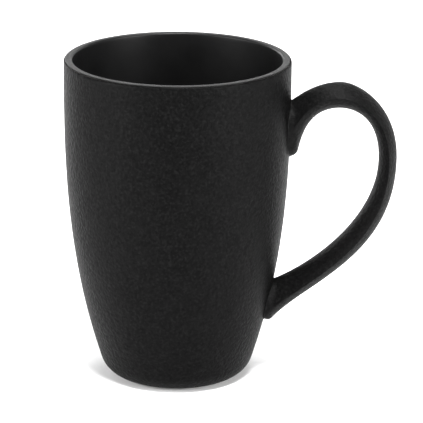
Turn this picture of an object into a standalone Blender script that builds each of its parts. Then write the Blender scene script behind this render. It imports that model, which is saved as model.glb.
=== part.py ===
"""Tall barrel-shaped ceramic mug with one looped handle.

The clay is in two pieces, the turned cup and the cast handle. The handle's ends are
stuck to the wall with two beds of slip. Over the clay lie the fired coats: a gritty
matt coat on the outside wall, the same coat on the handle, a smooth satin coat inside
the cup and over the rim, and a small glazed disc inside the foot ring.

The mug stands on z = 0 and its handle points along +X. The origin is on the floor,
midway between the far side of the rim and the outermost point of the handle.
"""

import math

import bmesh
import bpy
from mathutils import Vector
from mathutils.geometry import interpolate_bezier

# ---------------------------------------------------------------- driving sizes, metres

# Cup, finished surface
RIM_RADIUS = 0.0410
MUG_HEIGHT = 0.1190
SHOULDER_DROP = 0.0085      # the wall is upright this far down from the rim
BARREL_TAPER = 0.0153       # how far the wall has drawn in by the time it meets the floor
BARREL_POWER = 2.6          # how late the drawing in starts
CORNER_RADIUS = 0.0085      # round turn from the wall to the underside
RIM_WALL = 0.0032
LOWER_WALL = 0.0042
FLOOR_HEIGHT = 0.0065       # inside floor above the table
CAVITY_CORNER = 0.0100
LIP_OUTER = 0.0012          # rounding on the rim's outer edge
LIP_INNER = 0.0008          # rounding on the rim's inner edge
LIP_SPLIT = math.radians(52)  # where the two coats meet on the rim's outer rounding

# Foot ring
FOOT_INSET = 0.0049         # ring's outer side, in from where the wall would meet the table
FOOT_WIDTH = 0.0035
FOOT_PROUD = 0.00035        # the bare ring stands this far below the coat around it
FOOT_EDGE = 0.0004
RECESS_DEPTH = 0.0018

# Layers
COAT = 0.00035
FIT_GAP = 0.0003
SLIP_BED = 0.0009

# Handle. Drops are measured down from the rim, rises up from the table, and reaches
# outwards from the rim's edge.
HANDLE_REACH = 0.0385
HANDLE_WIDTH = 0.0160
RUN_THICKNESS = 0.0067      # at the outermost point
CROWN_THICKNESS = 0.00925   # at the top of the loop
CROWN_REACH = 0.0179
CROWN_DROP = 0.0078
WIDEST_DROP = 0.0357
UPPER_JOINT_TOP = 0.0149    # drop
UPPER_JOINT_FOOT = 0.0357   # drop
LOWER_JOINT_TOP = 0.0362    # rise
LOWER_JOINT_FOOT = 0.0213   # rise
RIDGE_SHARE = 0.42          # the side ridges lie this share of the way from outside to inside
RUN_CROWNING = 1.85         # 1 is an oval section, more gives a crisper ridge
JOINT_CROWNING = 1.05
UPPER_HEEL_OUT = 0.0024     # the blunt corner under the upper joint, out from the wall
UPPER_HEEL_RISE = 0.0004
LOWER_HEEL_OUT = 0.0017     # the blunt corner under the lower joint
LOWER_HEEL_RISE = -0.0012
HEEL_RUN = 0.0018           # length of each edge line's end, beside the wall
HEEL_SQUARENESS = 0.62      # 0 is a flat slope, 1 a pinched corner
UPPER_TOP_ANGLE = 36        # degrees above level at which each edge line leaves its joint
UPPER_HEEL_ANGLE = 70
LOWER_TOP_ANGLE = 25.7
LOWER_HEEL_ANGLE = 48.6
# Tangent lengths along each edge line, as shares of the crown's reach (the first two), of
# the way from crown to widest point, outwards and downwards, and of the fall below it
OUTER_PULLS = (0.095, 0.48, 0.28, 0.717, 0.597, 0.314)
INNER_PULLS = (0.163, 0.734, 0.385, 0.806, 0.466, 0.329)
ROOT_DEPTH = 0.0040         # how far the uncut handle runs into the wall

# Facets
TURN_STEPS = 44
WALL_STEPS = 9
ARC_STEPS = 4
RAIL_STEPS = 10
END_STEPS = 4
SECTION_POINTS = 16
STUB_SECTIONS = 7           # sections at each end of the loop that the slip beds are cut from
MERGE = 0.00001

# Sizes that follow from the ones above
CLAY_DEPTH = COAT + FIT_GAP
MUG_AXIS_X = -HANDLE_REACH / 2
TABLE_HEIGHT = 0.0


# ---------------------------------------------------------------- turned outlines

def wall_radius(height):
    """Outside radius of the finished wall."""
    shoulder = MUG_HEIGHT - SHOULDER_DROP
    below = max(0.0, (shoulder - height) / shoulder)
    return RIM_RADIUS - BARREL_TAPER * below ** BARREL_POWER


def cavity_radius(height):
    """Inside radius of the finished wall, which thickens towards the foot."""
    share = 1 - height / MUG_HEIGHT
    return wall_radius(height) - RIM_WALL - (LOWER_WALL - RIM_WALL) * share


def lean(radius_at, height):
    """Angle by which a wall leans outwards as it rises."""
    step = 0.0001
    return math.atan((radius_at(height + step) - radius_at(height - step)) / (2 * step))


def corner(radius_at, floor, fillet):
    """Centre of the round turn between a wall and a floor, and the wall's lean there."""
    centre_z = floor + fillet
    angle = 0.0
    for _ in range(30):
        angle = lean(radius_at, centre_z - fillet * math.sin(angle))
    contact = centre_z - fillet * math.sin(angle)
    return radius_at(contact) - fillet * math.cos(angle), centre_z, angle


def arc(centre, radius, start, end):
    """Points of an arc, as (radius, height) pairs."""
    angles = [start + (end - start) * i / ARC_STEPS for i in range(ARC_STEPS + 1)]
    return [(centre[0] + radius * math.cos(a), centre[1] + radius * math.sin(a)) for a in angles]


def wall_points(radius_at, top, bottom, shift):
    """Points down a wall, moved square to it by shift. They close up towards the bottom."""
    points = []
    for i in range(WALL_STEPS + 1):
        share = i / WALL_STEPS
        height = top + (bottom - top) * (1 - (1 - share) ** 1.25)
        angle = lean(radius_at, height)
        points.append((radius_at(height) + shift * math.cos(angle),
                       height - shift * math.sin(angle)))
    return points


def foot_radius():
    return wall_radius(TABLE_HEIGHT) - FOOT_INSET


def outer_line(depth, lip_start, foot_clearance):
    """Outside of the cup, top to bottom, at a depth below the finished surface."""
    lip_centre = (RIM_RADIUS - LIP_OUTER, MUG_HEIGHT - LIP_OUTER)
    centre_r, centre_z, angle = corner(wall_radius, FOOT_PROUD, CORNER_RADIUS)
    contact = centre_z - CORNER_RADIUS * math.sin(angle)
    turn = CORNER_RADIUS - depth
    ring = foot_radius() + foot_clearance
    last = -math.acos(min(1.0, max(0.0, (ring - centre_r) / turn)))
    points = arc(lip_centre, LIP_OUTER - depth, lip_start, 0)
    points += wall_points(wall_radius, lip_centre[1], contact, -depth)[1:]
    points += arc((centre_r, centre_z), turn, -angle, last)[1:]
    if ring < centre_r - MERGE:
        points.append((ring, FOOT_PROUD + depth))
    return points


def cavity_line(depth):
    """Inside of the cup, from the middle of its floor to the top of the rim."""
    lip_centre = (cavity_radius(MUG_HEIGHT) + LIP_INNER, MUG_HEIGHT - LIP_INNER)
    centre_r, centre_z, angle = corner(cavity_radius, FLOOR_HEIGHT, CAVITY_CORNER)
    contact = centre_z - CAVITY_CORNER * math.sin(angle)
    turn = CAVITY_CORNER + depth
    points = [(0, FLOOR_HEIGHT - depth)]
    points += arc((centre_r, centre_z), turn, -math.pi / 2, -angle)
    points += wall_points(cavity_radius, lip_centre[1], contact, depth)[-2:0:-1]
    points += arc(lip_centre, LIP_INNER - depth, math.pi, math.pi / 2)
    return points


# ---------------------------------------------------------------- scene and materials

def empty_scene():
    for thing in list(bpy.data.objects):
        bpy.data.objects.remove(thing, do_unlink=True)


def collection(name):
    made = bpy.data.collections.new(name)
    bpy.context.scene.collection.children.link(made)
    return made


def material(name, colour, roughness, metallic=0.0):
    made = bpy.data.materials.new(name)
    made.use_nodes = True
    made.diffuse_color = (*colour, 1)
    shader = made.node_tree.nodes["Principled BSDF"]
    shader.inputs["Base Color"].default_value = (*colour, 1)
    shader.inputs["Roughness"].default_value = roughness
    shader.inputs["Metallic"].default_value = metallic
    return made


def add(name, mesh, home, look=None):
    """Put a mesh on the mug's axis as a named object."""
    thing = bpy.data.objects.new(name, mesh)
    thing.location.x = MUG_AXIS_X
    home.objects.link(thing)
    if look is None:
        thing.hide_render = True
        thing.display_type = "WIRE"
    else:
        mesh.materials.append(look)
    return thing


# ---------------------------------------------------------------- shape builders

def turned(name, line, home, look=None):
    """Turn an open outline about the mug's axis. It runs down the outer side."""
    mesh = bpy.data.meshes.new(name)
    mesh.from_pydata([(r, 0, z) for r, z in line], [(i, i + 1) for i in range(len(line) - 1)], [])
    thing = add(name, mesh, home, look)
    screw = thing.modifiers.new("turn", "SCREW")
    screw.steps = TURN_STEPS
    screw.render_steps = TURN_STEPS
    screw.use_merge_vertices = True
    screw.merge_threshold = MERGE
    screw.use_smooth_shade = True
    return thing


def thicken(thing):
    """Give a finished surface the depth of the coat, inwards."""
    shell = thing.modifiers.new("coat", "SOLIDIFY")
    shell.thickness = COAT
    shell.offset = -1
    shell.use_even_offset = True


def cut(thing, cutter, operation="DIFFERENCE"):
    boolean = thing.modifiers.new(operation.lower(), "BOOLEAN")
    boolean.operation = operation
    boolean.object = cutter
    boolean.solver = "EXACT"


def wall_point(height):
    return (wall_radius(height), height)


def along(point, degrees, distance):
    angle = math.radians(degrees)
    return (point[0] + distance * math.cos(angle), point[1] + distance * math.sin(angle))


def between(first, second, share):
    return (first[0] + (second[0] - first[0]) * share, first[1] + (second[1] - first[1]) * share)


def plain_end(foot, degrees):
    """The end of an edge line that runs straight into the wall."""
    knee = along(foot, degrees, HEEL_RUN)
    return [foot, between(foot, knee, 1 / 3), between(foot, knee, 2 / 3), knee]


def heel_end(foot, out, rise, degrees):
    """The end of an edge line that turns in to the wall round a blunt corner."""
    corner_point = (foot[0] + out, foot[1] + rise)
    knee = along(corner_point, degrees, HEEL_RUN)
    near = between(foot, corner_point, HEEL_SQUARENESS)
    far = between(knee, corner_point, HEEL_SQUARENESS)
    return [foot, near, far, knee]


def edge_line(start, start_angle, end, end_angle, crown, widest, shares):
    """One edge line of the handle, from wall to wall, in the plane of the loop.

    start and end are the short end curves, each from the wall outwards.
    """
    outward = widest[0] - crown[0]
    rise = crown[1] - widest[1]
    fall = widest[1] - end[0][1]
    curves = [
        start,
        [start[3], along(start[3], start_angle, shares[0] * CROWN_REACH),
         (crown[0] - shares[1] * CROWN_REACH, crown[1]), crown],
        [crown, (crown[0] + shares[2] * outward, crown[1]),
         (widest[0], widest[1] + shares[3] * rise), widest],
        [widest, (widest[0], widest[1] - shares[4] * fall),
         along(end[3], end_angle, shares[5] * fall), end[3]],
        end[::-1],
    ]
    steps = [END_STEPS, RAIL_STEPS, RAIL_STEPS, RAIL_STEPS, END_STEPS]
    points = [Vector(start[0])]
    for curve, count in zip(curves, steps):
        points += interpolate_bezier(*[Vector(p) for p in curve], count + 1)[1:]
    return points


def handle_rails():
    """The loop's outer and inner edge lines, from the upper joint to the lower one."""
    crown = (RIM_RADIUS + CROWN_REACH, MUG_HEIGHT - CROWN_DROP)
    widest = (RIM_RADIUS + HANDLE_REACH, MUG_HEIGHT - WIDEST_DROP)
    inner_crown = (crown[0], crown[1] - CROWN_THICKNESS)
    inner_widest = (widest[0] - RUN_THICKNESS, widest[1])
    upper_heel = heel_end(wall_point(MUG_HEIGHT - UPPER_JOINT_FOOT), UPPER_HEEL_OUT,
                          UPPER_HEEL_RISE, UPPER_HEEL_ANGLE)
    lower_heel = heel_end(wall_point(LOWER_JOINT_FOOT), LOWER_HEEL_OUT,
                          LOWER_HEEL_RISE, LOWER_HEEL_ANGLE)
    outer = edge_line(
        plain_end(wall_point(MUG_HEIGHT - UPPER_JOINT_TOP), UPPER_TOP_ANGLE), UPPER_TOP_ANGLE,
        lower_heel, LOWER_HEEL_ANGLE, crown, widest, OUTER_PULLS)
    inner = edge_line(
        upper_heel, UPPER_HEEL_ANGLE,
        plain_end(wall_point(LOWER_JOINT_TOP), LOWER_TOP_ANGLE), LOWER_TOP_ANGLE,
        inner_crown, inner_widest, INNER_PULLS)
    return outer, inner


def inset_rail(points, depth):
    """An edge line moved square to itself, to its right by depth."""
    moved = []
    for i, point in enumerate(points):
        heading = points[min(i + 1, len(points) - 1)] - points[max(i - 1, 0)]
        heading.normalize()
        moved.append(point + depth * Vector((heading.y, -heading.x)))
    return moved


def handle_section(outside, inside, crowning, depth):
    """One lens-shaped section between the two edge lines.

    A crisper ridge sits further in at a depth, because its two faces meet more sharply.
    """
    ridge = outside.lerp(inside, RIDGE_SHARE)
    half_width = HANDLE_WIDTH / 2 - depth * crowning
    points = []
    for i in range(SECTION_POINTS):
        angle = math.tau * i / SECTION_POINTS
        edge = outside if math.sin(angle) >= 0 else inside
        place = ridge.lerp(edge, abs(math.sin(angle)) ** crowning)
        points.append(Vector((place.x, -half_width * math.cos(angle), place.y)))
    return points


def handle_sections(depth):
    """Sections along the loop, with one more inside the wall at each end."""
    outer, inner = handle_rails()
    outer = inset_rail(outer, depth)
    inner = inset_rail(inner, -depth)
    last = len(outer) - 1
    sections = []
    for i in range(last + 1):
        run = math.sin(math.pi * i / last)
        crowning = JOINT_CROWNING + (RUN_CROWNING - JOINT_CROWNING) * min(1.0, 2 * run)
        sections.append(handle_section(outer[i], inner[i], crowning, depth))
    root = Vector((-ROOT_DEPTH, 0, 0))
    sections.insert(0, [p + root for p in sections[0]])
    sections.append([p + root for p in sections[-1]])
    return sections


def loft(name, sections, closed, home, look=None):
    """Skin a run of sections that each have the same number of points."""
    shape = bmesh.new()
    rings = [[shape.verts.new(p) for p in section] for section in sections]
    for ring, following in zip(rings, rings[1:]):
        for j in range(len(ring)):
            k = (j + 1) % len(ring)
            shape.faces.new((ring[j], following[j], following[k], ring[k]))
    if closed:
        shape.faces.new(rings[0])
        shape.faces.new(list(reversed(rings[-1])))
    mesh = bpy.data.meshes.new(name)
    shape.to_mesh(mesh)
    shape.free()
    mesh.shade_smooth()
    return add(name, mesh, home, look)


# ---------------------------------------------------------------- cutters

def wall_envelope(name, outset, home):
    """A solid that fills the cup's outer wall and stands clear of it by outset."""
    line = [(0, MUG_HEIGHT)] + outer_line(-outset, 0, 0)
    line.append((0, line[-1][1]))
    return turned(name, line, home)


def wall_layer(name, inner_outset, outer_outset, home):
    """A ring-shaped solid over the cup's outer wall, between two outsets."""
    outside = outer_line(-outer_outset, 0, 0)
    inside = outer_line(-inner_outset, 0, 0)
    line = outside + inside[::-1] + outside[:1]
    return turned(name, line, home)


# ---------------------------------------------------------------- the mug's pieces

def make_cup_body(home, look):
    ring = foot_radius()
    inside = ring - FOOT_WIDTH
    roof = RECESS_DEPTH + COAT + FIT_GAP
    line = cavity_line(CLAY_DEPTH)
    line += outer_line(CLAY_DEPTH, math.pi / 2, 0)
    line += [
        (ring, TABLE_HEIGHT + FOOT_EDGE),
        (ring - FOOT_EDGE, TABLE_HEIGHT),
        (inside + FOOT_EDGE, TABLE_HEIGHT),
        (inside, TABLE_HEIGHT + FOOT_EDGE),
        (inside, roof),
        (0, roof),
    ]
    return turned("cup_body", line, home, look)


def make_wall_glaze(home, look, windows):
    """The outside coat, with a window at each joint."""
    gap_angle = FIT_GAP / (LIP_OUTER - COAT)
    line = outer_line(0, LIP_SPLIT - gap_angle / 2, FIT_GAP)
    coat = turned("wall_glaze", line, home, look)
    thicken(coat)
    cut(coat, windows)
    return coat


def make_liner_glaze(home, look):
    """The inside coat, which runs over the rim's flat top."""
    gap_angle = FIT_GAP / (LIP_OUTER - COAT)
    lip_centre = (RIM_RADIUS - LIP_OUTER, MUG_HEIGHT - LIP_OUTER)
    line = cavity_line(0)
    line += arc(lip_centre, LIP_OUTER, math.pi / 2, LIP_SPLIT + gap_angle / 2)
    coat = turned("liner_glaze", line, home, look)
    thicken(coat)
    return coat


def make_base_glaze(home, look):
    radius = foot_radius() - FOOT_WIDTH - FIT_GAP
    bpy.ops.mesh.primitive_cylinder_add(vertices=TURN_STEPS, radius=radius, depth=COAT)
    thing = bpy.context.object
    thing.name = "base_glaze"
    thing.location = (MUG_AXIS_X, 0, RECESS_DEPTH + COAT / 2)
    for old in list(thing.users_collection):
        old.objects.unlink(thing)
    home.objects.link(thing)
    thing.data.materials.append(look)
    return thing


def make_handle(home, look, keep_out):
    """The clay handle, cut to sit on its two beds of slip."""
    clay = loft("handle", handle_sections(CLAY_DEPTH), True, home, look)
    cut(clay, keep_out)
    return clay


def make_handle_glaze(home, look, keep_out):
    coat = loft("handle_glaze", handle_sections(0), False, home, look)
    thicken(coat)
    cut(coat, keep_out)
    return coat


def make_slip(name, sections, home, look, layer):
    """One bed of slip, between the clay wall and the end of the handle."""
    bed = loft(name, sections, True, home, look)
    cut(bed, layer, "INTERSECT")
    return bed


def main():
    empty_scene()
    mug = collection("ceramic_mug")
    cutters = collection("cutters")

    clay = material("clay", (0.115, 0.105, 0.098), 0.85)
    slip = material("slip", (0.135, 0.125, 0.118), 0.9)
    matt = material("matt_coat", (0.017, 0.017, 0.018), 0.62)
    satin = material("satin_coat", (0.012, 0.012, 0.013), 0.34)

    slip_inside = FIT_GAP - CLAY_DEPTH
    slip_outside = slip_inside + SLIP_BED
    coat_keep_out = wall_envelope("coat_keep_out", FIT_GAP, cutters)
    clay_keep_out = wall_envelope("clay_keep_out", slip_outside + FIT_GAP, cutters)
    slip_layer = wall_layer("slip_layer", slip_inside, slip_outside, cutters)
    windows = loft("joint_windows", handle_sections(COAT), True, cutters)

    make_cup_body(mug, clay)
    make_wall_glaze(mug, matt, windows)
    make_liner_glaze(mug, satin)
    make_base_glaze(mug, satin)
    make_handle(mug, clay, clay_keep_out)
    make_handle_glaze(mug, matt, coat_keep_out)

    sections = handle_sections(CLAY_DEPTH)
    upper_end = sections[:STUB_SECTIONS]
    lower_end = sections[-STUB_SECTIONS:]
    make_slip("upper_handle_slip", upper_end, mug, slip, slip_layer)
    make_slip("lower_handle_slip", lower_end, mug, slip, slip_layer)


main()
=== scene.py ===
"""The looks of a tall matt black ceramic mug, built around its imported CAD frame.

The cup's clay and the four coats are rebuilt here as fine meshes on the CAD's own sizes: a
gritty matt coat outside and on the handle, a smooth satin coat inside, over the rim and under
the foot, and the bare ground foot ring. The handle's clay and the two beds of slip stay the
CAD's own meshes.
"""

import math

import bpy
import numpy as np
from mathutils import Matrix, Vector, noise


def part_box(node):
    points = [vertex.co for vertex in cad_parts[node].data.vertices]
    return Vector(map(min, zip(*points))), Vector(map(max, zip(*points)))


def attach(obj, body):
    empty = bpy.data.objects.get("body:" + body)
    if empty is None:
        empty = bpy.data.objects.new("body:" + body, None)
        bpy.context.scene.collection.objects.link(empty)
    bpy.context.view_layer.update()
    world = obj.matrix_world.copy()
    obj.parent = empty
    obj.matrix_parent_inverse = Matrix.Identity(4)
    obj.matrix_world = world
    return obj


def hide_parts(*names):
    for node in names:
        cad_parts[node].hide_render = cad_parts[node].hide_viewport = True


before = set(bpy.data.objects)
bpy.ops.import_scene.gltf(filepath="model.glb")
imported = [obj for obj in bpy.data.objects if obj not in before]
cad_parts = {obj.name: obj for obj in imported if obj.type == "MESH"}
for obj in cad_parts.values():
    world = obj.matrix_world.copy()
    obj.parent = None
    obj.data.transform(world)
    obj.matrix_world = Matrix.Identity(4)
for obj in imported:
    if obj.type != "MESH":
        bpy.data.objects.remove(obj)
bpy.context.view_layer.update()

# ---------------------------------------------------------------- sizes, metres

WALL_LOW, WALL_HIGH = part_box("wall_glaze")
LOOP_LOW, LOOP_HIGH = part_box("handle_glaze")
LINER_LOW, LINER_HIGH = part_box("liner_glaze")

# Cup, read from the frame
RIM_RADIUS = (WALL_HIGH.y - WALL_LOW.y) / 2
MUG_HEIGHT = LINER_HIGH.z
AXIS_X = WALL_LOW.x + RIM_RADIUS
HANDLE_WIDTH = LOOP_HIGH.y - LOOP_LOW.y
HANDLE_REACH = LOOP_HIGH.x - AXIS_X - RIM_RADIUS

# Cup, the same as in the CAD
SHOULDER_DROP = 0.0085
BARREL_TAPER = 0.0153
BARREL_POWER = 2.6
CORNER_RADIUS = 0.0085
RIM_WALL = 0.0032
LOWER_WALL = 0.0042
FLOOR_HEIGHT = 0.0065
CAVITY_CORNER = 0.0100
LIP_OUTER = 0.0012
LIP_INNER = 0.0008
LIP_SPLIT = math.radians(52)
FOOT_INSET = 0.0049
FOOT_WIDTH = 0.0035
FOOT_PROUD = 0.00035
FOOT_EDGE = 0.0004
RECESS_DEPTH = 0.0018
COAT = 0.00035
FIT_GAP = 0.0003
LIP_GAP_ANGLE = FIT_GAP / (LIP_OUTER - COAT)    # the gap between the two coats on the lip

# Handle, the same as in the CAD
RUN_THICKNESS = 0.0067
CROWN_THICKNESS = 0.00925
CROWN_REACH = 0.0179
CROWN_DROP = 0.0078
WIDEST_DROP = 0.0357
UPPER_JOINT_TOP = 0.0149
UPPER_JOINT_FOOT = 0.0357
LOWER_JOINT_TOP = 0.0362
LOWER_JOINT_FOOT = 0.0213
RIDGE_SHARE = 0.42
RUN_CROWNING = 1.85
JOINT_CROWNING = 1.05
UPPER_HEEL_OUT = 0.0024
UPPER_HEEL_RISE = 0.0004
LOWER_HEEL_OUT = 0.0017
LOWER_HEEL_RISE = -0.0012
HEEL_RUN = 0.0018
HEEL_SQUARENESS = 0.62
UPPER_TOP_ANGLE = 36        # degrees above level at which each edge line leaves its joint
UPPER_HEEL_ANGLE = 70
LOWER_TOP_ANGLE = 25.7
LOWER_HEEL_ANGLE = 48.6
# Tangent lengths along each edge line, as shares of the crown's reach (the first two), of
# the way from crown to widest point, outwards and downwards, and of the fall below it
OUTER_PULLS = (0.095, 0.48, 0.28, 0.717, 0.597, 0.314)
INNER_PULLS = (0.163, 0.734, 0.385, 0.806, 0.466, 0.329)

# Fired surface
GRIT_HEIGHT = 0.00003       # the coat's grains stand this high
GRIT_SPACING = 0.0013
GRIT_MIDDLE = 0.5           # share of that height lost where both noises are zero
GRIT_WEIGHT = 0.45
FINE_GRIT_WEIGHT = 0.3
FINE_GRIT_RATIO = 2.1       # how many times finer the second noise is
FINE_GRIT_SHIFT = Vector((7.0, 3.0, 5.0))
FILLET = 0.0005             # glaze gathered in the corner between handle and wall
FILLET_SINK = 0.00003       # the fillet's foot ends this far inside the wall's coat
LEAST_SLOPE = 0.25          # keeps the fillet short where the skin runs nearly along the wall
ROOT_DEPTH = 0.004          # the loop runs on this far into the wall before it is trimmed
CROWNING_RISE = 2           # crowning is full after a sixth of the rows, from each joint

# Numerical steps
LEAN_STEP = 0.0001
SLOPE_STEP = 0.00005
CORNER_ROUNDS = 30          # rounds in which a corner's place settles

# Colours: greys for the dark, light and fleck of a matt coat, dark and light for the others
WALL_TONES = (0.0006, 0.0022, 0.005)
# The handle's greys are painted paler than the wall's: painted light, standing in for the light
# the handle's top face catches; the glaze itself is the same as the wall's.
LOOP_TONES_PAINTED_LIGHTER = (0.0024, 0.0044, 0.0072)
SATIN_TONES = ((0.0032, 0.0032, 0.0033), (0.0044, 0.0044, 0.0045))
CLAY_TONES = ((0.10, 0.092, 0.086), (0.14, 0.13, 0.12))
SLIP_TONES = ((0.12, 0.11, 0.104), (0.16, 0.15, 0.14))
PAPER_TONES = ((0.92, 0.92, 0.92), (0.94, 0.94, 0.94))
SPECK_SHARE = 0.35          # a speck's colour, as a share of the dark clay's

# Bump heights
GRAIN_BUMP = 0.00023
PEEL_BUMP = 0.000008
SAND_BUMP = 0.00005

# Mesh fineness of what is seen
TURNS = 360
WALL_ROWS = 208
CAVITY_ROWS = 90
ARC_STEPS = 14
LOOP_ROWS = 90
END_ROWS = 36
LOOP_POINTS = 80
FILLET_STEPS = 7
END_CROWDING = 0.5          # how strongly the loop's rows are drawn to the joints, 0 to 1

# Mesh fineness inside the cup, underneath and on hidden faces
INNER_TURNS = 256
DISC_TURNS = 192
COAT_BACK_ROWS = 8
COAT_BACK_STEPS = 4
LINER_BACK_ROWS = 12
LINER_BACK_STEPS = 5
CLAY_ROWS = 20
CLAY_STEPS = 6
FOOT_STEPS = 5
DISC_STEPS = 6
DISC_RINGS = 12
LOOP_BACK_SKIP = 4          # the handle coat's inside keeps one row in this many


# ---------------------------------------------------------------- outlines

def wall_radius(height):
    shoulder = MUG_HEIGHT - SHOULDER_DROP
    below = np.clip((shoulder - height) / shoulder, 0, None)
    return RIM_RADIUS - BARREL_TAPER * below ** BARREL_POWER


def cavity_radius(height):
    share = 1 - height / MUG_HEIGHT
    return wall_radius(height) - RIM_WALL - (LOWER_WALL - RIM_WALL) * share


def lean(radius_at, height):
    rise = radius_at(height + LEAN_STEP) - radius_at(height - LEAN_STEP)
    return np.arctan(rise / (2 * LEAN_STEP))


def corner(radius_at, floor, fillet):
    """Centre of the round turn between a wall and a floor, and the wall's lean there."""
    centre_z = floor + fillet
    angle = 0.0
    for _ in range(CORNER_ROUNDS):
        angle = float(lean(radius_at, centre_z - fillet * math.sin(angle)))
    contact = centre_z - fillet * math.sin(angle)
    return float(radius_at(contact)) - fillet * math.cos(angle), centre_z, angle


def arc(centre, radius, start, end, steps=ARC_STEPS):
    angles = np.linspace(start, end, steps + 1)
    return np.stack([centre[0] + radius * np.cos(angles), centre[1] + radius * np.sin(angles)], 1)


def wall_points(radius_at, top, bottom, shift, rows):
    heights = np.linspace(top, bottom, rows + 1)
    angles = lean(radius_at, heights)
    return np.stack([radius_at(heights) + shift * np.cos(angles),
                     heights - shift * np.sin(angles)], 1)


def foot_radius():
    return float(wall_radius(0.0)) - FOOT_INSET


def outer_lip_centre():
    return (RIM_RADIUS - LIP_OUTER, MUG_HEIGHT - LIP_OUTER)


def outer_line(depth, lip_start, ring, rows, steps=ARC_STEPS):
    """Outside of the cup, top to bottom, at a depth below the finished surface."""
    lip_centre = outer_lip_centre()
    centre_r, centre_z, angle = corner(wall_radius, FOOT_PROUD, CORNER_RADIUS)
    contact = centre_z - CORNER_RADIUS * math.sin(angle)
    turn = CORNER_RADIUS - depth
    last = -math.acos(min(1.0, max(0.0, (ring - centre_r) / turn)))
    return np.concatenate([
        arc(lip_centre, LIP_OUTER - depth, lip_start, 0, steps // 2),
        wall_points(wall_radius, lip_centre[1], contact, -depth, rows)[1:],
        arc((centre_r, centre_z), turn, -angle, last, 2 * steps)[1:],
    ])


def cavity_line(depth, rows, steps=ARC_STEPS):
    """Inside of the cup, from the middle of its floor to the top of the rim."""
    lip_centre = (float(cavity_radius(MUG_HEIGHT)) + LIP_INNER, MUG_HEIGHT - LIP_INNER)
    centre_r, centre_z, angle = corner(cavity_radius, FLOOR_HEIGHT, CAVITY_CORNER)
    contact = centre_z - CAVITY_CORNER * math.sin(angle)
    turn = CAVITY_CORNER + depth
    floor = np.linspace(0, centre_r, steps + 1)[:-1]
    return np.concatenate([
        np.stack([floor, np.full(len(floor), FLOOR_HEIGHT - depth)], 1),
        arc((centre_r, centre_z), turn, -math.pi / 2, -angle, 2 * steps),
        wall_points(cavity_radius, lip_centre[1], contact, depth, rows)[-2:0:-1],
        arc(lip_centre, LIP_INNER - depth, math.pi, math.pi / 2, steps // 2),
    ])


# ---------------------------------------------------------------- mesh builders

def mesh_object(name, points, faces):
    mesh = bpy.data.meshes.new(name)
    mesh.from_pydata(points.tolist(), [], faces)
    mesh.validate()
    mesh.shade_smooth()
    piece = bpy.data.objects.new(name, mesh)
    bpy.context.scene.collection.objects.link(piece)
    return piece


def grid_faces(rows, columns, close_rows):
    """Quads between rows that each run round a ring of columns."""
    faces = []
    for i in range(rows if close_rows else rows - 1):
        below = (i + 1) % rows
        for j in range(columns):
            k = (j + 1) % columns
            faces.append((i * columns + j, below * columns + j,
                          below * columns + k, i * columns + k))
    return faces


def turned_points(line, turns):
    angles = np.arange(turns) * (math.tau / turns)
    r, z = line[:, 0, None], line[:, 1, None]
    return np.stack([AXIS_X + r * np.cos(angles), r * np.sin(angles),
                     z + 0 * angles], -1)


def turned_ring(name, line, turns):
    """A closed ring turned from a closed outline that stays off the axis."""
    points = turned_points(line, turns)
    return mesh_object(name, points.reshape(-1, 3), grid_faces(len(line), turns, True))


def turned_solid(name, line, turns):
    """A closed solid turned from an outline whose two ends are on the axis."""
    points = turned_points(line[1:-1], turns).reshape(-1, 3)
    rows = len(line) - 2
    first, last = len(points), len(points) + 1
    poles = np.array([[AXIS_X, 0, line[0, 1]], [AXIS_X, 0, line[-1, 1]]])
    faces = grid_faces(rows, turns, False)
    base = (rows - 1) * turns
    for j in range(turns):
        k = (j + 1) % turns
        faces.append((first, j, k))
        faces.append((last, base + k, base + j))
    return mesh_object(name, np.concatenate([points, poles]), faces)


def grit(point):
    """How far the coat's surface lies below its highest grains, from 0 to 1."""
    near = noise.noise(point / GRIT_SPACING)
    fine = noise.noise(point * (FINE_GRIT_RATIO / GRIT_SPACING) + FINE_GRIT_SHIFT)
    depth = GRIT_MIDDLE - GRIT_WEIGHT * near - FINE_GRIT_WEIGHT * fine
    return min(1.0, max(0.0, depth))


def roughen(piece, strength):
    """Sink the surface between its grains. strength gives a share from 0 to 1 per vertex."""
    mesh = piece.data
    count = len(mesh.vertices)
    places = np.zeros(count * 3)
    normals = np.zeros(count * 3)
    mesh.vertices.foreach_get("co", places)
    mesh.vertex_normals.foreach_get("vector", normals)
    places, normals = places.reshape(-1, 3), normals.reshape(-1, 3)
    for i in np.flatnonzero(strength > 0):
        sink = GRIT_HEIGHT * strength[i] * grit(Vector(places[i]))
        places[i] -= normals[i] * sink
    mesh.vertices.foreach_set("co", places.reshape(-1))
    mesh.update()


# ---------------------------------------------------------------- handle

def bezier(a, b, c, d, steps):
    t = np.linspace(0, 1, steps + 1)[:, None]
    a, b, c, d = (np.array(point, float) for point in (a, b, c, d))
    return (1 - t) ** 3 * a + 3 * (1 - t) ** 2 * t * b + 3 * (1 - t) * t ** 2 * c + t ** 3 * d


def wall_point(height):
    return (float(wall_radius(height)), height)


def along(point, degrees, distance):
    angle = math.radians(degrees)
    return (point[0] + distance * math.cos(angle), point[1] + distance * math.sin(angle))


def between(first, second, share):
    return (first[0] + (second[0] - first[0]) * share, first[1] + (second[1] - first[1]) * share)


def plain_end(foot, degrees):
    """The end of an edge line that runs straight into the wall."""
    knee = along(foot, degrees, HEEL_RUN)
    return [foot, between(foot, knee, 1 / 3), between(foot, knee, 2 / 3), knee]


def heel_end(foot, out, rise, degrees):
    """The end of an edge line that turns in to the wall round a blunt corner."""
    corner_point = (foot[0] + out, foot[1] + rise)
    knee = along(corner_point, degrees, HEEL_RUN)
    near = between(foot, corner_point, HEEL_SQUARENESS)
    far = between(knee, corner_point, HEEL_SQUARENESS)
    return [foot, near, far, knee]


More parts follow.
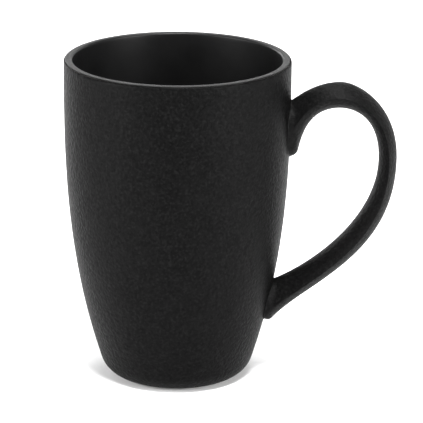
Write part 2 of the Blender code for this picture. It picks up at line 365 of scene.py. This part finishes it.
def edge_line(start, start_angle, end, end_angle, crown, widest, shares):
    """One edge line of the handle, from wall to wall, in the plane of the loop."""
    outward = widest[0] - crown[0]
    rise = crown[1] - widest[1]
    fall = widest[1] - end[0][1]
    curves = [
        start,
        [start[3], along(start[3], start_angle, shares[0] * CROWN_REACH),
         (crown[0] - shares[1] * CROWN_REACH, crown[1]), crown],
        [crown, (crown[0] + shares[2] * outward, crown[1]),
         (widest[0], widest[1] + shares[3] * rise), widest],
        [widest, (widest[0], widest[1] - shares[4] * fall),
         along(end[3], end_angle, shares[5] * fall), end[3]],
        end[::-1],
    ]
    steps = [END_ROWS, LOOP_ROWS, LOOP_ROWS, LOOP_ROWS, END_ROWS]
    parts = [bezier(*curve, count)[1:] for curve, count in zip(curves, steps)]
    return np.concatenate([[start[0]]] + parts)


def handle_rails():
    """The loop's outer and inner edge lines, from the upper joint to the lower one."""
    crown = (RIM_RADIUS + CROWN_REACH, MUG_HEIGHT - CROWN_DROP)
    widest = (RIM_RADIUS + HANDLE_REACH, MUG_HEIGHT - WIDEST_DROP)
    inner_crown = (crown[0], crown[1] - CROWN_THICKNESS)
    inner_widest = (widest[0] - RUN_THICKNESS, widest[1])
    upper_heel = heel_end(wall_point(MUG_HEIGHT - UPPER_JOINT_FOOT), UPPER_HEEL_OUT,
                          UPPER_HEEL_RISE, UPPER_HEEL_ANGLE)
    lower_heel = heel_end(wall_point(LOWER_JOINT_FOOT), LOWER_HEEL_OUT,
                          LOWER_HEEL_RISE, LOWER_HEEL_ANGLE)
    outer = edge_line(
        plain_end(wall_point(MUG_HEIGHT - UPPER_JOINT_TOP), UPPER_TOP_ANGLE), UPPER_TOP_ANGLE,
        lower_heel, LOWER_HEEL_ANGLE, crown, widest, OUTER_PULLS)
    inner = edge_line(
        upper_heel, UPPER_HEEL_ANGLE,
        plain_end(wall_point(LOWER_JOINT_TOP), LOWER_TOP_ANGLE), LOWER_TOP_ANGLE,
        inner_crown, inner_widest, INNER_PULLS)
    return outer, inner


def inset_rail(points, depth):
    """An edge line moved square to itself, to its right by depth."""
    heading = np.gradient(points, axis=0)
    heading /= np.linalg.norm(heading, axis=1, keepdims=True)
    return points + depth * np.stack([heading[:, 1], -heading[:, 0]], 1)


def handle_skin(depth):
    """Rows of points along the loop, each round one section, about the cup's own axis."""
    outer, inner = handle_rails()
    outer, inner = inset_rail(outer, depth), inset_rail(inner, -depth)
    last = len(outer) - 1
    run = np.minimum(1.0, CROWNING_RISE * np.sin(math.pi * np.arange(last + 1) / last))
    crowning = (JOINT_CROWNING + (RUN_CROWNING - JOINT_CROWNING) * run)[:, None]
    turn = np.arange(LOOP_POINTS) * (math.tau / LOOP_POINTS)
    share = np.abs(np.sin(turn))[None, :] ** crowning
    edge = np.where(np.sin(turn)[None, :, None] >= 0, outer[:, None], inner[:, None])
    ridge = (outer + (inner - outer) * RIDGE_SHARE)[:, None]
    place = ridge + (edge - ridge) * share[..., None]
    across = -(HANDLE_WIDTH / 2 - depth * crowning) * np.cos(turn)[None, :]
    return np.stack([place[..., 0], across, place[..., 1]], -1)


def clearance(points):
    """How far points stand out from the cup's finished wall, level with each."""
    return np.hypot(points[..., 0], points[..., 1]) - wall_radius(points[..., 2])


def trim_to_wall(skin, stand_off):
    """Each lengthwise line of the skin from one crossing of the wall to the other.

    The rows lie closer together towards the joints, and end at stand_off from the wall.
    """
    even = np.linspace(0, 1, len(skin))
    spread = (1 - END_CROWDING) * even + END_CROWDING / 2 * (1 - np.cos(math.pi * even))
    root = np.array([ROOT_DEPTH, 0, 0])
    trimmed = np.zeros_like(skin)
    for j in range(skin.shape[1]):
        line = skin[:, j]
        line = np.concatenate([line[:1] - root, line, line[-1:] - root])
        gap = clearance(line) - stand_off
        out = np.flatnonzero(gap > 0)
        a, b = out[0], out[-1]
        start = line[a - 1] + (line[a] - line[a - 1]) * (-gap[a - 1] / (gap[a] - gap[a - 1]))
        end = line[b] + (line[b + 1] - line[b]) * (gap[b] / (gap[b] - gap[b + 1]))
        kept = np.concatenate([[start], line[a:b + 1], [end]])
        length = np.concatenate([[0], np.cumsum(np.linalg.norm(np.diff(kept, axis=0), axis=1))])
        spots = spread * length[-1]
        trimmed[:, j] = np.stack([np.interp(spots, length, kept[:, c]) for c in range(3)], 1)
    return trimmed


def fillet_rows(root, back, side):
    """Rows that carry the end of the skin out onto the wall in a small hollow round.

    root is the skin's last row, back the row before it, side its outward direction.
    """
    onward = root - back
    onward /= np.linalg.norm(onward, axis=1, keepdims=True)
    slope = np.maximum(LEAST_SLOPE, -wall_slope(root, onward))
    foot = root + onward * (clearance(root) / slope)[:, None]
    reach = press_to_wall(foot + side * FILLET, -FILLET_SINK)
    t = np.linspace(0, 1, FILLET_STEPS + 1)[1:, None, None]
    return (1 - t) ** 2 * root + 2 * (1 - t) * t * foot + t ** 2 * reach


def wall_slope(points, direction):
    """How fast a point moving in a direction leaves the wall, per metre."""
    return (clearance(points + direction * SLOPE_STEP) - clearance(points)) / SLOPE_STEP


def press_to_wall(points, stand_off):
    """The points moved level, towards or away from the cup's axis, to a distance from its wall."""
    level = np.hypot(points[..., 0], points[..., 1])
    scale = (wall_radius(points[..., 2]) + stand_off) / level
    return points * np.stack([scale, scale, np.ones_like(scale)], -1)


def outward_sides(row, back):
    """For each point of a row round the handle, the direction square to the skin."""
    around = np.roll(row, -1, axis=0) - np.roll(row, 1, axis=0)
    side = np.cross(around, row - back)
    side /= np.linalg.norm(side, axis=1, keepdims=True)
    if np.sum(side * (row - row.mean(0))) < 0:
        side = -side
    return side


def handle_coat():
    """The handle's coat: its skin, a fillet onto the wall at each end, and its inside face."""
    skin = trim_to_wall(handle_skin(0), FILLET)
    start = fillet_rows(skin[0], skin[1], outward_sides(skin[0], skin[1]))
    end = fillet_rows(skin[-1], skin[-2], outward_sides(skin[-1], skin[-2]))
    outside = np.concatenate([start[::-1], skin, end])
    inside = trim_to_wall(handle_skin(COAT), 0.0)[::LOOP_BACK_SKIP]
    rows = np.concatenate([outside, inside[::-1]]) + [AXIS_X, 0, 0]
    piece = mesh_object("matt_coat_handle_painted_light", rows.reshape(-1, 3),
                        grid_faces(len(rows), LOOP_POINTS, True))
    return piece, len(outside) * LOOP_POINTS


# ---------------------------------------------------------------- the other pieces

def wall_coat():
    """The outside coat, with a coarse inside face.

    It has no windows at the joints: it runs through the beds of slip, out of sight.
    """
    ring = foot_radius() + FIT_GAP
    split = LIP_SPLIT - LIP_GAP_ANGLE / 2
    outside = outer_line(0, split, ring, WALL_ROWS)
    inside = outer_line(COAT, split, ring, COAT_BACK_ROWS, COAT_BACK_STEPS)
    piece = turned_ring("matt_coat_wall", np.concatenate([outside, inside[::-1]]), TURNS)
    return piece, len(outside) * TURNS


def liner_coat():
    """The inside coat, from the middle of the floor over the rim's land."""
    lip_centre = outer_lip_centre()
    split = LIP_SPLIT + LIP_GAP_ANGLE / 2
    face = cavity_line(0, CAVITY_ROWS)
    land = arc(lip_centre, LIP_OUTER, math.pi / 2, split)
    under = arc(lip_centre, LIP_OUTER - COAT, split, math.pi / 2, COAT_BACK_STEPS)
    back = cavity_line(COAT, LINER_BACK_ROWS, LINER_BACK_STEPS)[::-1]
    line = np.concatenate([face, land, under, back])
    return turned_solid("satin_coat_liner", line, INNER_TURNS)


def clay_cup():
    """The clay under the coats, with its bare ground foot ring."""
    ring = foot_radius()
    inside = ring - FOOT_WIDTH
    depth = COAT + FIT_GAP
    roof = RECESS_DEPTH + COAT + FIT_GAP
    outer_centre = (ring - FOOT_EDGE, FOOT_EDGE)
    inner_centre = (inside + FOOT_EDGE, FOOT_EDGE)
    line = np.concatenate([
        cavity_line(depth, CLAY_ROWS, CLAY_STEPS),
        outer_line(depth, math.pi / 2, ring, CLAY_ROWS, CLAY_STEPS),
        arc(outer_centre, FOOT_EDGE, 0, -math.pi / 2, FOOT_STEPS),
        arc(inner_centre, FOOT_EDGE, -math.pi / 2, -math.pi, FOOT_STEPS),
        [(inside, roof), (0, roof)],
    ])
    return turned_solid("clay_cup", line, INNER_TURNS)


def base_coat():
    """The thin disc of satin coat in the recess under the foot."""
    radius = foot_radius() - FOOT_WIDTH - FIT_GAP
    edge = COAT / 2
    centre = (radius - edge, RECESS_DEPTH + edge)
    rim = arc(centre, edge, -math.pi / 2, math.pi / 2, DISC_STEPS)
    rings = np.linspace(0, radius - edge, DISC_RINGS)[:-1]
    under = np.stack([rings, np.full(len(rings), RECESS_DEPTH)], 1)
    over = np.stack([rings[::-1], np.full(len(rings), RECESS_DEPTH + COAT)], 1)
    return turned_solid("satin_coat_base", np.concatenate([under, rim, over]), DISC_TURNS)


# ---------------------------------------------------------------- materials

class Shades:
    """A node material in the making, around one Principled shader."""

    def __init__(self, name, roughness, specular):
        self.material = bpy.data.materials.new(name)
        self.material.use_nodes = True
        self.tree = self.material.node_tree
        self.shader = self.tree.nodes["Principled BSDF"]
        self.shader.inputs["Roughness"].default_value = roughness
        self.shader.inputs["Specular IOR Level"].default_value = specular
        self.place = self.tree.nodes.new("ShaderNodeTexCoord").outputs["Object"]

    def node(self, kind, **values):
        made = self.tree.nodes.new("ShaderNode" + kind)
        for name, value in values.items():
            setattr(made, name, value)
        return made

    def noise(self, spacing, detail, roughness=0.5):
        """Even noise with lumps about one spacing apart."""
        made = self.node("TexNoise")
        made.inputs["Scale"].default_value = 1 / spacing
        made.inputs["Detail"].default_value = detail
        made.inputs["Roughness"].default_value = roughness
        self.tree.links.new(self.place, made.inputs["Vector"])
        return made.outputs["Fac"]

    def ramp(self, value, low, high, from_value, to_value):
        made = self.node("MapRange")
        for name, number in (("From Min", low), ("From Max", high),
                             ("To Min", from_value), ("To Max", to_value)):
            made.inputs[name].default_value = number
        self.tree.links.new(value, made.inputs["Value"])
        return made.outputs["Result"]

    def maths(self, operation, a, b):
        made = self.node("Math", operation=operation)
        for socket, value in zip(made.inputs, (a, b)):
            if isinstance(value, (int, float)):
                socket.default_value = value
            else:
                self.tree.links.new(value, socket)
        return made.outputs["Value"]

    def blend(self, factor, first, second):
        made = self.node("Mix", data_type="RGBA")
        self.tree.links.new(factor, made.inputs["Factor"])
        for socket, colour in (("A", first), ("B", second)):
            socket = [s for s in made.inputs if s.name == socket and s.type == "RGBA"][0]
            if isinstance(colour, tuple):
                socket.default_value = (*colour, 1)
            else:
                self.tree.links.new(colour, socket)
        return [s for s in made.outputs if s.type == "RGBA"][0]

    def to(self, socket, value):
        self.tree.links.new(value, self.shader.inputs[socket])

    def bump(self, height, distance):
        made = self.node("Bump")
        made.inputs["Strength"].default_value = 1
        made.inputs["Distance"].default_value = distance
        self.tree.links.new(height, made.inputs["Height"])
        return made.outputs["Normal"]


def matt_coat(name, dark, light, fleck_tone):
    """Black coat full of fine grains, some of them paler, that each catch a little light."""
    look = Shades(name, 0.5, 0.044)
    grain = look.noise(0.0012, 1.0)
    fleck = look.noise(0.0009, 1.0)
    drift = look.noise(0.009, 2.0)
    tone = look.maths("ADD", look.maths("MULTIPLY", grain, 0.7),
                      look.maths("MULTIPLY", drift, 0.3))
    body = look.blend(look.ramp(tone, 0.35, 0.65, 0, 1), (dark,) * 3, (light,) * 3)
    look.to("Base Color", look.blend(look.ramp(fleck, 0.5, 0.75, 0, 1), body, (fleck_tone,) * 3))
    look.to("Roughness", look.ramp(grain, 0.3, 0.7, 0.56, 0.44))
    look.to("Normal", look.bump(grain, GRAIN_BUMP))
    return look.material


def satin_coat():
    """Smooth black coat with a slow drift of tone and the faintest orange peel."""
    look = Shades("satin_coat", 0.42, 0.2)
    peel = look.noise(0.0011, 1.0)
    drift = look.noise(0.012, 1.0)
    look.to("Base Color", look.blend(look.ramp(drift, 0.35, 0.65, 0, 1), *SATIN_TONES))
    look.to("Roughness", look.ramp(peel, 0.3, 0.7, 0.45, 0.38))
    look.to("Normal", look.bump(peel, PEEL_BUMP))
    return look.material


def bare_clay(name, dark, light):
    """Fired clay with fine iron specks, dry and a little sandy."""
    look = Shades(name, 0.85, 0.4)
    sand = look.noise(0.0005, 3.0, 0.6)
    speck = look.noise(0.0016, 1.0)
    body = look.blend(look.ramp(sand, 0.35, 0.65, 0, 1), dark, light)
    shade = tuple(SPECK_SHARE * part for part in dark)
    look.to("Base Color", look.blend(look.ramp(speck, 0.62, 0.68, 0, 1), body, shade))
    look.to("Roughness", look.ramp(sand, 0.3, 0.7, 0.92, 0.78))
    look.to("Normal", look.bump(sand, SAND_BUMP))
    return look.material


def paper_white():
    look = Shades("studio_white", 0.7, 0.2)
    mottle = look.noise(0.05, 2.0)
    look.to("Base Color", look.blend(mottle, *PAPER_TONES))
    return look.material


def dress(piece, material):
    piece.data.materials.clear()
    piece.data.materials.append(material)


# ---------------------------------------------------------------- studio

CAMERA_SPIN = math.radians(3)        # the handle's turn towards the camera
CAMERA_DIP = math.radians(17.5)
CAMERA_ROLL = math.radians(-0.444)
CAMERA_DISTANCE = 1.0
CAMERA_TARGET = (0.01254, 0.0, 0.06134)
LENS = 233.1
SENSOR_WIDTH = 36
CLIP_START = 0.05
LIGHT_AIM = (0, 0, 0.06)
WORLD_STRENGTH = 0.1

# The floor sheet
SHEET_FRONT = -1.2
SHEET_BACK = 0.9            # where it starts to curve up
SHEET_BEND = 0.5            # radius of the curve
SHEET_TOP = 1.6
SHEET_SIDE = 1.6            # half its width
SHEET_ANGLES = np.linspace(0.1, math.pi / 2, 14)


def spun(vector):
    """From the camera's level directions to the mug's."""
    return Matrix.Rotation(CAMERA_SPIN, 3, "Z") @ Vector(vector)


def place_camera():
    ahead = spun((0, math.cos(CAMERA_DIP), -math.sin(CAMERA_DIP)))
    right = spun((1, 0, 0))
    up = right.cross(ahead)
    cosine, sine = math.cos(CAMERA_ROLL), math.sin(CAMERA_ROLL)
    columns = (cosine * right - sine * up, sine * right + cosine * up, -ahead)
    spot = spun(CAMERA_TARGET) + Vector((AXIS_X, 0, 0)) - CAMERA_DISTANCE * ahead
    data = bpy.data.cameras.new("camera")
    data.lens = LENS
    data.sensor_width = SENSOR_WIDTH
    data.clip_start = CLIP_START
    camera = bpy.data.objects.new("camera", data)
    camera.matrix_world = Matrix.Translation(spot) @ Matrix(columns).transposed().to_4x4()
    bpy.context.scene.collection.objects.link(camera)
    bpy.context.scene.camera = camera


def soft_box(name, spot, size, power):
    """A soft light at a place in the camera's level directions, turned to the mug."""
    data = bpy.data.lights.new(name, "AREA")
    data.shape = "RECTANGLE"
    data.size, data.size_y = size
    data.energy = power
    light = bpy.data.objects.new(name, data)
    spot, aim = spun(spot), spun(LIGHT_AIM)
    turn = (aim - spot).to_track_quat("-Z", "Y").to_matrix().to_4x4()
    light.matrix_world = Matrix.Translation(spot + Vector((AXIS_X, 0, 0))) @ turn
    bpy.context.scene.collection.objects.link(light)


# Soft lights: name, turn round the mug from the camera, distance, height, size, power
LIGHTS = (
    ("left_light", -60, 0.9, 0.30, (0.5, 0.6), 11.9),
    ("left_side_light", -95, 0.9, 0.30, (0.4, 0.6), 1.5),
    ("left_back_light", -145, 0.9, 0.30, (0.4, 0.6), 3.6),
    ("right_light", 53, 0.9, 0.30, (0.35, 0.5), 11.0),
    ("right_side_light", 90, 0.9, 0.30, (0.4, 0.6), 0.8),
    ("right_back_light", 135, 0.9, 0.30, (0.4, 0.6), 1.1),
    ("top_front_light", 12, 0.6, 1.20, (0.25, 0.25), 22.0),
    ("top_light", 180, 0.05, 1.20, (0.4, 0.4), 7.0),
    ("top_back_light", 180, 0.5, 1.20, (0.6, 0.6), 7.0),
)


def place_lights():
    for name, turn, distance, height, size, power in LIGHTS:
        angle = math.radians(turn)
        spot = (distance * math.sin(angle), -distance * math.cos(angle), height)
        soft_box(name, spot, size, power)
    world = bpy.data.worlds.new("studio")
    world.use_nodes = True
    world.node_tree.nodes["Background"].inputs["Strength"].default_value = WORLD_STRENGTH
    bpy.context.scene.world = world
    bpy.context.scene.view_settings.view_transform = "Standard"


def place_floor():
    """A wide pale sheet, level under the mug and curving up far behind it."""
    bend = [(SHEET_BACK + SHEET_BEND * math.sin(angle), SHEET_BEND - SHEET_BEND * math.cos(angle))
            for angle in SHEET_ANGLES]
    run = [(SHEET_FRONT, 0.0), (SHEET_BACK, 0.0), *bend, (SHEET_BACK + SHEET_BEND, SHEET_TOP)]
    points = np.array([(x, y, z) for x in (-SHEET_SIDE, SHEET_SIDE) for y, z in run])
    count = len(run)
    faces = [(i, count + i, count + i + 1, i + 1) for i in range(count - 1)]
    sheet = mesh_object("studio_floor", points, faces)
    sheet.matrix_world = Matrix.Rotation(CAMERA_SPIN, 4, "Z")
    dress(sheet, paper_white())


# ---------------------------------------------------------------- the whole mug

def main():
    matt = matt_coat("matt_coat", *WALL_TONES)
    # The handle's coat takes the paler greys: painted light over the whole handle.
    matt_loop_painted_light = matt_coat("matt_coat_handle_painted_light", *LOOP_TONES_PAINTED_LIGHTER)
    satin = satin_coat()
    clay = bare_clay("clay", *CLAY_TONES)
    slip = bare_clay("slip", *SLIP_TONES)

    wall, wall_shown = wall_coat()
    loop, loop_shown = handle_coat()
    for piece, shown in ((wall, wall_shown), (loop, loop_shown)):
        strength = np.zeros(len(piece.data.vertices))
        strength[:shown] = 1
        roughen(piece, strength)
    liner, cup, base = liner_coat(), clay_cup(), base_coat()

    for piece, look, node, slot in (
            (wall, matt, "wall_glaze", "matt_coat"),
            (loop, matt_loop_painted_light, "handle_glaze", "matt_coat"),
            (liner, satin, "liner_glaze", "satin_coat"),
            (cup, clay, "cup_body", "clay"),
            (base, satin, "base_glaze", "satin_coat")):
        dress(piece, look)
        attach(piece, "root")
        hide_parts(node)
    dress(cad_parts["handle"], clay)
    for node in ("upper_handle_slip", "lower_handle_slip"):
        dress(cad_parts[node], slip)

    place_floor()
    place_lights()
    place_camera()


main()
